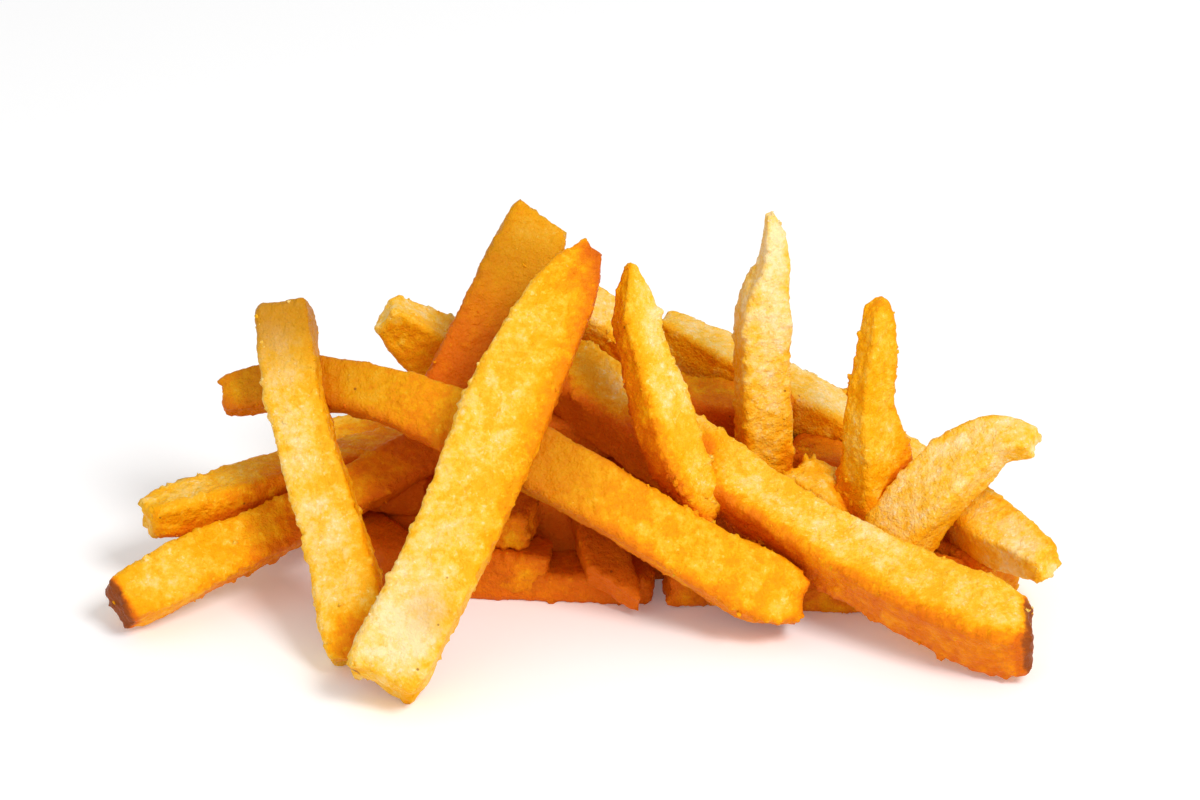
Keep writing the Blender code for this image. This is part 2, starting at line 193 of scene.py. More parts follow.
BASE_FRIES = (
    Fry("base_end_upper", (-20.0, -5.5, 9.6, 6.4, 6.0), (-6.8, -8.2, 10.0, 6.4, 6.0), roll=5,
        brown=(0.45, 0.35), rough=1.3),
    Fry("base_end_lower", (-21.0, -7.5, 4.0, 6.0, 5.8), (-4.6, -9.6, 4.0, 6.0, 5.8), brown=(0.6, 0.5)),
    Fry("base_leaf", (0.2, 3.0, 11.5, 6.4, 4.4), (2.6, -10.0, 6.0, 6.4, 4.6), (4.0, -15.6, 3.4, 6.4, 4.4),
        slants=(0.0, -1.2), brown=(0.85, 0.6), rough=0.6),
    Fry("base_left", (-17.0, -8.0, 2.0, 7.0, 4.6), (9.0, -9.6, 2.0, 7.6, 4.6), brown=(0.7, 0.7)),
    Fry("base_stub", (11.0, -12.2, 2.8, 5.4, 5.0), (33.0, -6.0, 3.0, 6.6, 6.4), brown=(0.5, 0.6)),
    Fry("base_right", (27.0, -11.5, 3.1), (50.0, -13.5, 3.1), brown=(0.5, 0.4)),
    Fry("base_far_right", (38.5, 5.0, 3.2), (56.0, -12.0, 3.2), brown=(0.5, 0.35)),
    Fry("base_inner_left", (-38.0, 10.0, 3.0, 6.6, 6.6), (-24.0, -8.0, 3.0, 6.6, 6.6), brown=(0.9, 1.0)),
)

# Fries deep inside, such as second_far_left and third_inner, have deep tones: painted shade of the heap's
# inside
BACK_FRIES = (
    Fry("floor_back_left", (-35.5, 15.0, 3.2, 7.0, 7.0), (-20.0, 21.5, 3.2, 7.4, 7.0),
        (-4.0, 27.0, 3.2, 7.0, 6.8)),
    Fry("floor_back", (0.0, 30.0, 3.2, 7.0, 6.8), (18.0, 27.0, 3.2, 7.4, 7.0), (36.0, 25.0, 3.2, 7.0, 7.0)),
    Fry("floor_middle", (-10.0, 7.0, 3.2, 7.0, 7.0), (32.0, 13.0, 3.2, 7.0, 7.0)),
    Fry("floor_rear", (4.0, 36.6, 3.0, 6.8, 6.6), (30.0, 32.3, 3.0, 6.2, 6.2), brown=(0.2, 0.3)),
    Fry("floor_far_left", (-47.8, 5.0, 3.0, 6.6, 6.6), (-37.2, 19.5, 3.0, 6.2, 6.4), brown=(0.35, 0.25)),
    Fry("second_far_left", (-42.0, 7.0, 9.0, 6.4, 6.2), (-20.0, 1.5, 9.6, 6.4, 6.2), brown=(0.6, 0.9)),
    Fry("second_left", (-22.0, 25.0, 9.8), (10.0, 21.0, 10.1), roll=6, brown=(0.2, 0.3)),
    Fry("second_middle", (12.0, 34.0, 9.8), (26.0, 6.0, 10.1), roll=12, brown=(0.25, 0.4)),
    Fry("second_right", (23.0, 29.5, 9.6, 6.6, 6.4), (36.0, 22.5, 9.3, 6.0, 6.0), roll=10),
    Fry("second_inner", (6.0, 9.5, 10.0), (20.0, 1.5, 10.2), brown=(0.6, 0.6)),
    Fry("second_left_inner", (-38.0, 13.0, 8.5), (-14.0, 19.0, 10.8), roll=8, brown=(0.3, 0.4)),
    Fry("second_right_inner", (28.0, 9.5, 9.6), (42.0, 3.5, 8.6), brown=(0.6, 0.5)),
    Fry("third_inner", (-13.0, 3.5, 17.4, 6.6, 6.4), (8.0, 7.0, 16.4, 6.6, 6.4), roll=10, brown=(0.6, 0.6)),
    Fry("third_right", (6.0, 15.0, 16.4), (28.0, 11.0, 14.8), roll=12, brown=(0.55, 0.45)),
    Fry("third_back", (-18.0, 17.0, 16.8, 6.6, 6.4), (-6.0, 21.5, 16.9, 7.0, 6.6),
        (6.0, 24.8, 16.6, 6.4, 6.4), roll=14),
    Fry("back_lean", (-10.0, 41.5, 3.0, 7.2, 6.8), (-4.5, 24.5, 22.8, 6.4, 6.2), roll=16, brown=(0.2, 0.35)),
)


# Clumps of loose crust: centre, reach, number of crumbs and their radius, in millimetres
CLUMPS = (
    ((11.0, -14.5, 19.0), 3.5, 12, 1.0),
    ((14.5, -15.5, 16.5), 3.0, 8, 0.8),
    ((19.5, -16.0, 13.0), 4.5, 22, 0.6),
    ((30.5, 5.0, 12.5), 3.0, 8, 0.8),
    ((34.6, -6.8, 12.5), 3.0, 10, 0.7),
)


class FriesSizes(PropertyGroup):
    """Sizes of the crust."""

    grain: FloatProperty(name="Mesh grain", description="Side of the squares that a shown fry is made of",
                         default=0.3 * MM, min=0.2 * MM, unit="LENGTH")
    back_grain: FloatProperty(name="Back mesh grain", description="The same for the fries inside and behind",
                              default=0.46 * MM, min=0.2 * MM, unit="LENGTH")
    edge_radius: FloatProperty(name="Edge radius", description="Rounding of a fry's long edges",
                               default=0.95 * MM, min=0.1 * MM, unit="LENGTH")
    waves: FloatProperty(name="Waves", description="Height of the slow unevenness of a fry's faces",
                         default=0.55 * MM, min=0.0, unit="LENGTH")
    bumps: FloatProperty(name="Bumps", description="Height of the crust's blisters and bumps",
                         default=0.36 * MM, min=0.0, unit="LENGTH")
    grit: FloatProperty(name="Grit", description="Height of the crust's fine grit",
                        default=0.13 * MM, min=0.0, unit="LENGTH")
    crags: FloatProperty(name="Crags", description="Height of the ragged crust along the edges",
                         default=0.5 * MM, min=0.0, unit="LENGTH")
    torn: FloatProperty(name="Torn ends", description="How unevenly the fries are broken off at their ends",
                        default=0.7 * MM, min=0.0, unit="LENGTH")
    crumb: FloatProperty(name="Crumb", description="Radius of a common crumb", default=0.22 * MM,
                         min=0.1 * MM, unit="LENGTH")
    crumbs: IntProperty(name="Crumbs", description="Number of crumbs on the fries' edges", default=1300,
                        min=0)
    seed: IntProperty(name="Seed", description="Start of the random draws", default=7)


class FriesColours(PropertyGroup):
    """Colours of the crust, from the palest to the deepest."""

    cream: FloatVectorProperty(name="Cream", description="Palest patches of the crust", subtype="COLOR",
                               size=4, min=0, max=1, default=(1.0, 0.76, 0.38, 1.0))
    pale_gold: FloatVectorProperty(name="Pale gold", description="Dry, lightly fried faces", subtype="COLOR",
                                   size=4, min=0, max=1, default=(1.0, 0.63, 0.16, 1.0))
    gold: FloatVectorProperty(name="Gold", description="Common crust", subtype="COLOR", size=4, min=0, max=1,
                              default=(1.0, 0.54, 0.038, 1.0))
    amber: FloatVectorProperty(name="Amber", description="Edges and thin places", subtype="COLOR", size=4,
                               min=0, max=1, default=(0.97, 0.42, 0.002, 1.0))
    # Orange and brown also colour the painted shade: shaded faces and the deep inside of the heap
    orange: FloatVectorProperty(name="Orange", description="Well fried sides", subtype="COLOR", size=4,
                                min=0, max=1, default=(0.88, 0.25, 0.001, 1.0))
    brown: FloatVectorProperty(name="Brown", description="Deepest places inside the heap", subtype="COLOR",
                               size=4, min=0, max=1, default=(0.74, 0.15, 0.002, 1.0))
    glassy: FloatVectorProperty(name="Glassy", description="Places where the potato shows through the crust",
                                subtype="COLOR", size=4, min=0, max=1, default=(0.52, 0.20, 0.003, 1.0))
    burnt: FloatVectorProperty(name="Burnt", description="Burnt ends and specks", subtype="COLOR", size=4,
                               min=0, max=1, default=(0.22, 0.05, 0.01, 1.0))


class StageSettings(PropertyGroup):
    """Floor, lights and camera."""

    floor: FloatVectorProperty(name="Floor", description="Colour of the floor", subtype="COLOR", size=4,
                               min=0, max=1, default=(1.0, 1.0, 1.0, 1.0))
    sky: FloatProperty(name="Sky", description="Strength of the light from all round", default=0.6, min=0.0)
    key: FloatProperty(name="Key light", description="Power of the large light", default=4.6, min=0.0,
                       unit="POWER")
    elevation: FloatProperty(name="Elevation", description="How far the camera looks down", subtype="ANGLE",
                             default=math.radians(28.0))
    distance: FloatProperty(name="Distance", description="From the camera to the heap", default=0.6,
                            unit="LENGTH")
    lens: FloatProperty(name="Lens", description="Focal length on a 36 mm sensor, in millimetres",
                        default=135.0)


def sections_at(fry, shares):
    """Centre, width and thickness at each share of the way along, on a smooth curve through the sections."""
    gaps = np.diff(fry.marks)
    slopes = np.diff(fry.rows, axis=0) / gaps[:, None]
    inner = ((slopes[:-1] * gaps[1:, None] + slopes[1:] * gaps[:-1, None])
             / (gaps[:-1] + gaps[1:])[:, None])
    turns = np.vstack([slopes[:1], inner, slopes[-1:]])
    span = np.clip(np.searchsorted(fry.marks, shares, side="right") - 1, 0, len(gaps) - 1)
    gap = gaps[span][:, None]
    t = (shares - fry.marks[span])[:, None] / gap
    rise = t * t * (3 - 2 * t)
    bend = t * (1 - t) * gap * ((1 - t) * turns[span] - t * turns[span + 1])
    return fry.rows[span] * (1 - rise) + fry.rows[span + 1] * rise + bend


def unit_rows(rows):
    """Each row made one unit long."""
    return rows / np.linalg.norm(rows, axis=1, keepdims=True)


def directions_at(fry, shares):
    """Unit directions of the centre line, from foot to head."""
    ahead = sections_at(fry, np.minimum(shares + DIRECTION_STEP, 1.0))
    behind = sections_at(fry, np.maximum(shares - DIRECTION_STEP, 0.0))
    return unit_rows((ahead - behind)[:, :3])


def smooth_step(low, high, values):
    """0 below low, 1 above high, and a smooth rise between them."""
    t = np.clip((values - low) / (high - low), 0.0, 1.0)
    return t * t * (3 - 2 * t)


def noise_at(points, size, seed):
    """Smooth noise from about -1 to 1 at each point, with features of the given size in millimetres."""
    shift = Vector((seed * 17.3, seed * 5.1, seed * 9.7))
    return np.array([noise.noise(Vector(point) + shift) for point in points / size])


def billows_at(points, size, seed):
    """Rounded bumps of several sizes with sharp creases between them, from 0 to about 1."""
    shift = Vector((seed * 11.9, seed * 7.3, seed * 3.1))
    return np.array([noise.turbulence(Vector(point) + shift, 3, True) for point in points / size])


def bar_builder(length, width, thickness, radius, grain):
    """A round-edged bar along X, divided into squares of about the grain, in a bmesh. Millimetres."""
    builder = bmesh.new()
    bmesh.ops.create_cube(builder, size=1.0)
    bmesh.ops.scale(builder, vec=(length, width, thickness), verts=builder.verts)
    bmesh.ops.bevel(builder, geom=builder.edges[:], offset=radius, offset_type="OFFSET", segments=3,
                    profile=0.5, affect="EDGES", material=-1)
    for axis, size in enumerate((length, width, thickness)):
        flat = size - 2 * radius
        spans = []
        for edge in builder.edges:
            run = edge.verts[1].co - edge.verts[0].co
            if abs(run[axis]) > 0.99 * run.length and run.length > 0.9 * flat:
                spans.append(edge)
        cuts = round(flat / grain) - 1
        if cuts > 0:
            bmesh.ops.subdivide_edges(builder, edges=spans, cuts=cuts, use_grid_fill=True)
    # A fry's length, side and normal make a mirrored frame, so the bar is turned inside out beforehand
    bmesh.ops.reverse_faces(builder, faces=builder.faces[:])
    return builder


def rows_of(mesh, field):
    """The mesh's vertex places or normals as rows."""
    rows = np.empty(len(mesh.vertices) * 3)
    mesh.vertices.foreach_get(field, rows)
    return rows.reshape(-1, 3)


def set_rows(mesh, rows):
    """Moves the mesh's vertices to the rows."""
    mesh.vertices.foreach_set("co", rows.astype(np.float32).ravel())
    mesh.update()


def openness(places, normals, tree):
    """How much of the outside each point of the heap sees, from 0 deep inside to 1 in the open, for the
    painted shade.
    """
    rays = []
    for number in range(RAYS):
        height = 1 - (2 * number + 1) / RAYS
        around = math.sqrt(1 - height * height)
        angle = GOLDEN_ANGLE * number
        rays.append(Vector((around * math.cos(angle), around * math.sin(angle), height)))
    found = np.empty(len(places))
    for number, (place, normal) in enumerate(zip(places, normals)):
        point = Vector(place)
        facing = Vector(normal)
        start = point + facing * RAY_LIFT
        seen = total = 0.0
        for ray in rays:
            weight = facing.dot(ray)
            if weight > 0.1:
                total += weight
                if tree.ray_cast(start, ray, RAY_REACH)[0] is None:
                    seen += weight * (1.0 if ray.z > -0.2 else FLOOR_LIGHT)
        found[number] = seen / total
    return found


def laid_places(fry, bar, shares, across_share, above_share, torn, seed):
    """The bar's corners laid along the fry's bends, with its worn and unevenly broken ends."""
    direction = directions_at(fry, shares)
    level_side = np.cross(directions_at(fry, np.array([0.5])), (0.0, 0.0, 1.0))
    flat = unit_rows(level_side - direction * (direction @ level_side.T))
    up = np.cross(flat, direction)
    normal = up * math.cos(fry.roll) + flat * math.sin(fry.roll)
    side = flat * math.cos(fry.roll) - up * math.sin(fry.roll)
    sections = sections_at(fry, shares)
    end_gap = fry.length / 2 - np.abs(bar[:, 0])
    worn = 1 - 0.08 * (1 - smooth_step(0.0, 2.6, end_gap))
    across = across_share * worn * sections[:, 3] / 2
    above = above_share * worn * sections[:, 4] / 2
    slant = fry.slants[0] * (1 - shares) ** SLANT_POWER + fry.slants[1] * shares ** SLANT_POWER
    places = (sections[:, :3] + side * across[:, None] + normal * above[:, None]
              + direction * (across * slant)[:, None])
    pulled = (1 - smooth_step(0.0, END_REACH, end_gap)) * np.sign(bar[:, 0])
    return places + direction * (pulled * torn * noise_at(places, TORN_SIZE, seed + 6))[:, None]


def glassiness(fry, shares):
    """How glassy the fry is at each share of the way along."""
    glassy = np.zeros(len(shares))
    for share, spread, amount in fry.glassy:
        glassy = np.maximum(glassy, amount * np.exp(-((shares - share) / spread) ** 2))
    return glassy


def with_spots(fry, tones, shares, across_share, above_share, width, thickness):
    """The tones with the fry's own spots added."""
    for share, across_spot, above_spot, reach, tone, amount in fry.spots:
        away = np.stack([(shares - share) * fry.length, (across_share - across_spot) * width / 2,
                         (above_share - above_spot) * thickness / 2])
        tones[tone] = tones[tone] + amount * np.exp(-(away ** 2).sum(axis=0) / reach ** 2)
    return {tone: np.clip(values, 0.0, 1.0) for tone, values in tones.items()}


def fry_mesh(fry, sizes, grain, seed, tree):
    """The fry's own mesh with its relief, and the tones of its crust for each vertex, painted shade among
    them. Millimetres.
    """
    length = fry.length
    width, thickness = fry.rows[:, 3:].max(axis=0)
    radius = min(sizes.edge_radius / MM, 0.3 * thickness)
    builder = bar_builder(length, width, thickness, radius, grain / MM)
    mesh = bpy.data.meshes.new(fry.name)
    builder.to_mesh(mesh)
    builder.free()

    bar = rows_of(mesh, "co")
    shares = np.clip(bar[:, 0] / length + 0.5, 0.0, 1.0)
    across_share = bar[:, 1] / width * 2
    above_share = bar[:, 2] / thickness * 2
    places = laid_places(fry, bar, shares, across_share, above_share, sizes.torn / MM, seed)
    set_rows(mesh, places)

    normals = rows_of(mesh, "normal")
    narrow = smooth_step(1.5, 5.0, sections_at(fry, shares)[:, 3:].min(axis=1))
    waves = noise_at(places, WAVE_SIZES[0], seed) * 0.55 + noise_at(places, WAVE_SIZES[1], seed + 1) * 0.45
    places += normals * (waves * sizes.waves / MM * (0.35 + 0.65 * narrow) * fry.rough ** 0.5)[:, None]
    set_rows(mesh, places)

    normals = rows_of(mesh, "normal")
    gaps = np.array([length, width, thickness]) / 2 - np.abs(bar)
    edge = 1 - smooth_step(0.3 * radius, EDGE_REACH, np.sort(gaps, axis=1)[:, 1])
    blisters = smooth_step(0.05, 0.4, noise_at(places, BLISTER_SIZE, seed + 2))
    bumps = billows_at(places, BUMP_SIZE, seed + 3) - 0.4
    grit = noise_at(places, GRIT_SIZE, seed + 4)
    crags = smooth_step(0.0, 0.35, noise_at(places, CRAG_SIZE, seed + 5))
    glassy = glassiness(fry, shares)
    height = fry.rough * (sizes.bumps * bumps * (0.6 + 0.6 * blisters) + sizes.grit * grit
                          + sizes.crags * crags * edge * (0.25 + 0.75 * blisters)) / MM
    height *= (1 - 0.5 * glassy) * (0.45 + 0.55 * narrow)
    places += normals * height[:, None]
    places[:, 2] = np.maximum(places[:, 2], 0.0)
    set_rows(mesh, places)

    # Painted shade: crust that sees little of the open, in the heap's recesses and under other fries, is
    # painted browner
    shade = 1 - openness(places - np.array(CENTRE), normals, tree)
    # Painted shade: a fry's shaded left or right face is painted more orange by its sides
    flank_shade = np.where(across_share < 0, fry.sides[0], fry.sides[1])
    brown = (0.28 + fry.brown[0] + (fry.brown[1] - fry.brown[0]) * shares
             + flank_shade * smooth_step(0.2, 0.95, np.abs(across_share))
             + 0.36 * shade ** 1.5 - 0.06 * blisters - 0.1 * bumps
             + 0.1 * (1 - smooth_step(0.0, END_REACH, gaps[:, 0])))
    burnt = (fry.burnt[0] * (1 - smooth_step(0.0, BURNT_REACH, length / 2 + bar[:, 0]))
             + fry.burnt[1] * (1 - smooth_step(0.0, BURNT_REACH, length / 2 - bar[:, 0])))
    tones = {"brown": brown, "edge": edge, "burnt": burnt, "glassy": glassy}
    return mesh, with_spots(fry, tones, shares, across_share, above_share, width, thickness)


def finish_piece(name, builder, tones, material):
    """A smooth, named object at the origin from a bmesh in millimetres, standing for the heap's node."""
    bmesh.ops.scale(builder, vec=(MM, MM, MM), verts=builder.verts)
    bmesh.ops.translate(builder, vec=-CENTRE * MM, verts=builder.verts)
    mesh = bpy.data.meshes.new(name)
    builder.to_mesh(mesh)
    builder.free()
    for tone in TONES:
        layer = mesh.attributes.new(tone, "FLOAT", "POINT")
        layer.data.foreach_set("value", tones[tone].astype(np.float32))
    mesh.shade_smooth()
    mesh.materials.append(material)
    item = bpy.data.objects.new(name, mesh)
    bpy.context.scene.collection.objects.link(item)
    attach(item, "root")
    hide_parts(HEAP_NODE)
    return item


def tone_of(mesh, tone):
    """The mesh's values of one of the crust's tones."""
    values = np.empty(len(mesh.vertices))
    mesh.attributes[tone].data.foreach_get("value", values)
    return values


def crumb_template():
    """Corners and faces of a small ball, from which every crumb is shaped."""
    builder = bmesh.new()
    bmesh.ops.create_icosphere(builder, subdivisions=2, radius=1.0)
    mesh = bpy.data.meshes.new("crumb")
    builder.to_mesh(mesh)
    builder.free()
    corners = rows_of(mesh, "co")
    faces = np.array([face.vertices[:] for face in mesh.polygons])
    bpy.data.meshes.remove(mesh)
    return corners, faces


def crumb_corners(ball, place, normal, radius, draw):
    """The corners of one uneven crumb, sunk a little into the crust. Millimetres."""
    turn = np.array(Euler([draw.uniform(0, math.tau) for _ in range(3)]).to_matrix())
    size = radius * np.array([1.0, draw.uniform(0.6, 1.0), draw.uniform(0.5, 0.8)])
    lumps = 1 + noise_at(ball * 1.3, 1.0, draw.uniform(0, 50))
    corners = (ball * lumps[:, None] * size) @ turn.T + place - normal * radius * 0.3
    corners[:, 2] = np.maximum(corners[:, 2], 0.0)
    return corners


def heap_tree():
    """A search tree of the solid heap in millimetres, for what lies in front of a point when the shade is
    painted.
    """
    builder = bmesh.new()
    builder.from_mesh(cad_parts[HEAP_NODE].data)
    bmesh.ops.scale(builder, vec=(1 / MM, 1 / MM, 1 / MM), verts=builder.verts)
    tree = BVHTree.FromBMesh(builder)
    builder.free()
    return tree


def fries_object(name, fries, grain, first_seed, material, sizes):
    """One piece with all the fries of a group."""
    tree = heap_tree()
    builder = bmesh.new()
    parts = []
    for number, fry in enumerate(fries):
        mesh, tones = fry_mesh(fry, sizes, grain, first_seed + 10 * number, tree)
        builder.from_mesh(mesh)
        bpy.data.meshes.remove(mesh)
        parts.append(tones)
    tones = {tone: np.concatenate([part[tone] for part in parts]) for tone in TONES}
    return finish_piece(name, builder, tones, material)


def new_group(name, inputs, outputs):
    """A shader node group with the given sockets, and its input and output nodes."""
    group = bpy.data.node_groups.new(name, "ShaderNodeTree")
    for label, kind, default in inputs:
        socket = group.interface.new_socket(label, in_out="INPUT", socket_type=kind)
        if default is not None:
            socket.default_value = default
    for label, kind in outputs:
        group.interface.new_socket(label, in_out="OUTPUT", socket_type=kind)
    return group, group.nodes.new("NodeGroupInput"), group.nodes.new("NodeGroupOutput")


def feed(tree, socket, value):
    """Links a socket to the value if that is a socket, and sets it otherwise."""
    if isinstance(value, bpy.types.NodeSocket):
        tree.links.new(value, socket)
    else:
        socket.default_value = value


def math_node(tree, operation, first, second=0.0, third=0.0, clamp=False):
    """The result of a Math node."""
    node = tree.nodes.new("ShaderNodeMath")
    node.operation = operation
    node.use_clamp = clamp
    for socket, value in zip(node.inputs, (first, second, third)):
        feed(tree, socket, value)
    return node.outputs[0]


def noise_node(tree, vector, scale, detail=3.0, rough=0.55):
    """The value of a Noise Texture node, around 0.5."""
    node = tree.nodes.new("ShaderNodeTexNoise")
    feed(tree, node.inputs["Vector"], vector)
    feed(tree, node.inputs["Scale"], scale)
    feed(tree, node.inputs["Detail"], detail)
    feed(tree, node.inputs["Roughness"], rough)
    return node.outputs["Fac"]


def range_node(tree, value, low, high, to_low=0.0, to_high=1.0):
    """The value eased from one range to another."""
    node = tree.nodes.new("ShaderNodeMapRange")
    node.interpolation_type = "SMOOTHSTEP"
    for label, given in zip(("Value", "From Min", "From Max", "To Min", "To Max"),
                            (value, low, high, to_low, to_high)):
        feed(tree, node.inputs[label], given)
    return node.outputs["Result"]


def mix_node(tree, share, first, second):
    """Two colours mixed."""
    node = tree.nodes.new("ShaderNodeMix")
    node.data_type = "RGBA"
    feed(tree, node.inputs["Factor"], share)
    feed(tree, node.inputs[6], first)
    feed(tree, node.inputs[7], second)
    return node.outputs[2]


def crust_tone_group(colours):
    """Colour of fried crust from how far browned it is, with painted shade, and how ragged, burnt and glassy,
    with mottles and dark specks.

    It also puts out how dry the crust is. Glassy crust, and crust deep in browning and painted shade, is less
    mottled.
    """
    group, entry, leave = new_group(
        "Crust tone",
        [("Vector", "NodeSocketVector", None), ("Brown", "NodeSocketFloat", 0.3),
         ("Edge", "NodeSocketFloat", 0.0), ("Burnt", "NodeSocketFloat", 0.0),
         ("Glassy", "NodeSocketFloat", 0.0)],
        [("Color", "NodeSocketColor"), ("Dry", "NodeSocketFloat")])
    place = entry.outputs["Vector"]
    slow = math_node(group, "SUBTRACT", noise_node(group, place, SLOW_SCALE), 0.5)
    patch = math_node(group, "SUBTRACT", noise_node(group, place, PATCH_SCALE, 5.0, 0.7), 0.5)
    fine = math_node(group, "SUBTRACT", noise_node(group, place, FINE_SCALE, 3.0, 0.65), 0.5)
    pale = range_node(group, noise_node(group, place, PALE_SCALE, 5.0, 0.65), 0.52, 0.68)
    mottle = math_node(group, "MULTIPLY", slow, 0.6)
    mottle = math_node(group, "MULTIPLY_ADD", patch, 1.3, mottle)
    mottle = math_node(group, "MULTIPLY_ADD", fine, 0.6, mottle)
    mottle = math_node(group, "MULTIPLY_ADD", pale, -0.10, mottle)
    fleck = range_node(group, noise_node(group, place, FLECK_SCALE, 2.0, 0.6), 0.60, 0.70)
    mottle = math_node(group, "MULTIPLY_ADD", fleck, -0.22, mottle)
    calm = math_node(group, "MULTIPLY_ADD", entry.outputs["Glassy"], -0.6, 1.0)
    calm = math_node(group, "MULTIPLY", calm, range_node(group, entry.outputs["Brown"], 0.5, 1.0, 1.0, 0.25))
    mottle = math_node(group, "MULTIPLY", mottle, calm)
    base = math_node(group, "MULTIPLY_ADD", entry.outputs["Burnt"], 0.5, entry.outputs["Brown"])
    tone = math_node(group, "ADD", mottle, base)
    tone = math_node(group, "MULTIPLY_ADD", entry.outputs["Edge"], 0.05, tone)
    deepest = math_node(group, "MAXIMUM", math_node(group, "ADD", base, 0.06), 0.6)
    tone = math_node(group, "MINIMUM", tone, deepest, clamp=True)
    ramp = group.nodes.new("ShaderNodeValToRGB")
    steps = ((0.0, colours.cream), (0.25, colours.pale_gold), (0.45, colours.gold), (0.65, colours.amber),
             (0.85, colours.orange), (1.0, colours.brown))
    while len(ramp.color_ramp.elements) < len(steps):
        ramp.color_ramp.elements.new(1.0)
    for element, (position, colour) in zip(ramp.color_ramp.elements, steps):
        element.position = position
        element.color = colour
    group.links.new(tone, ramp.inputs["Fac"])
    colour = mix_node(group, math_node(group, "MULTIPLY", entry.outputs["Glassy"], 0.85),
                      ramp.outputs["Color"], tuple(colours.glassy))
    specks = group.nodes.new("ShaderNodeTexVoronoi")
    feed(group, specks.inputs["Vector"], place)
    specks.inputs["Scale"].default_value = SPECK_SCALE
    speck = range_node(group, specks.outputs["Distance"], 0.07, 0.03)
    rare = group.nodes.new("ShaderNodeSeparateColor")
    group.links.new(specks.outputs["Color"], rare.inputs[0])
    speck = math_node(group, "MULTIPLY", speck, range_node(group, rare.outputs[1], 0.86, 0.9))
    ragged = math_node(group, "MULTIPLY_ADD", patch, 1.2, entry.outputs["Burnt"])
    char = math_node(group, "MULTIPLY", range_node(group, ragged, 0.45, 0.95), 0.85)
    dark = math_node(group, "MAXIMUM", char, math_node(group, "MULTIPLY", speck, 0.7))
    colour = mix_node(group, dark, colour, tuple(colours.burnt))
    group.links.new(colour, leave.inputs["Color"])
    group.links.new(pale, leave.inputs["Dry"])
    return group


def crust_grain_group():
    """Height of the crust's finest grit and pits, for a bump."""
    group, entry, leave = new_group(
        "Crust grain", [("Vector", "NodeSocketVector", None)], [("Height", "NodeSocketFloat")])
    coarse = noise_node(group, entry.outputs["Vector"], GRAIN_SCALES[0], 4.0, 0.6)
    fine = noise_node(group, entry.outputs["Vector"], GRAIN_SCALES[1], 2.0, 0.5)
    height = math_node(group, "MULTIPLY_ADD", fine, 0.35, coarse)
    group.links.new(height, leave.inputs["Height"])
    return group


def shared_group(name, make):
    """The node group of that name, made on first use."""
    return bpy.data.node_groups.get(name) or make()


def attribute_node(tree, name):
    """The value of a vertex attribute."""
    node = tree.nodes.new("ShaderNodeAttribute")
    node.attribute_name = name
    return node.outputs["Fac"]


def crust_material(name, colours, extra_shade=0.0):
    """A fried crust, made on first use. The finishes differ in how far browned they are; extra_shade deepens
    one with painted shade.
    """
    known = bpy.data.materials.get(name)
    if known:
        return known
    material = bpy.data.materials.new(name)
    material.use_nodes = True
    tree = material.node_tree
    shader = tree.nodes["Principled BSDF"]
    place = tree.nodes.new("ShaderNodeTexCoord").outputs["Object"]
    tone = tree.nodes.new("ShaderNodeGroup")
    tone.node_tree = shared_group("Crust tone", lambda: crust_tone_group(colours))
    feed(tree, tone.inputs["Vector"], place)
    feed(tree, tone.inputs["Brown"], math_node(tree, "ADD", attribute_node(tree, "brown"), extra_shade))
    for label in ("Edge", "Burnt", "Glassy"):
        feed(tree, tone.inputs[label], attribute_node(tree, label.lower()))
    feed(tree, shader.inputs["Base Color"], tone.outputs["Color"])
    rough = math_node(tree, "MULTIPLY_ADD", tone.outputs["Dry"], 0.18, 0.42)
    rough = math_node(tree, "MULTIPLY_ADD", attribute_node(tree, "glassy"), -0.12, rough)
    feed(tree, shader.inputs["Roughness"], rough)
    grain = tree.nodes.new("ShaderNodeGroup")
    grain.node_tree = shared_group("Crust grain", crust_grain_group)
    feed(tree, grain.inputs["Vector"], place)
    relief = tree.nodes.new("ShaderNodeBump")
    relief.inputs["Strength"].default_value = 0.8
    relief.inputs["Distance"].default_value = 0.7 * MM
    tree.links.new(grain.outputs["Height"], relief.inputs["Height"])
    tree.links.new(relief.outputs["Normal"], shader.inputs["Normal"])
    shader.inputs["Subsurface Weight"].default_value = 0.12
    shader.inputs["Subsurface Radius"].default_value = (1.0, 0.35, 0.08)
    shader.inputs["Subsurface Scale"].default_value = 1.2 * MM
    shader.inputs["IOR"].default_value = 1.45
    shader.inputs["Specular IOR Level"].default_value = 0.1
    return material


class FRIES_OT_inner_mound(Operator):
    """Adds the mound in the heap's middle, which the fries cover"""

    bl_idname = "fries.inner_mound"
    bl_label = "Inner mound"

    def execute(self, context):
        builder = bmesh.new()
        bmesh.ops.create_uvsphere(builder, u_segments=96, v_segments=48, radius=1.0)
        bmesh.ops.scale(builder, vec=MOUND_RADII, verts=builder.verts)
        bmesh.ops.translate(builder, vec=MOUND_CENTRE, verts=builder.verts)
        lump_height, lump_size = MOUND_LUMPS
        for corner in builder.verts:
            corner.co += corner.normal * lump_height * noise.noise(corner.co / lump_size)
        bmesh.ops.bisect_plane(builder, geom=builder.verts[:] + builder.edges[:] + builder.faces[:],
                               plane_co=(0, 0, 0.05), plane_no=(0, 0, -1), clear_outer=True)
        rim = [edge for edge in builder.edges if edge.is_boundary]
        bmesh.ops.contextual_create(builder, geom=rim)
        count = len(builder.verts)
        # Deep tone all over: painted shade for the heap's hidden inside, made deeper still by the material's
        # extra_shade
        tones = {"brown": np.full(count, 0.95), "edge": np.zeros(count), "burnt": np.zeros(count),
                 "glassy": np.zeros(count)}
        finish_piece("inner_mound", builder, tones,
                     crust_material("Inner crust in painted shade", context.scene.fries_colours, 0.1))
        return {"FINISHED"}


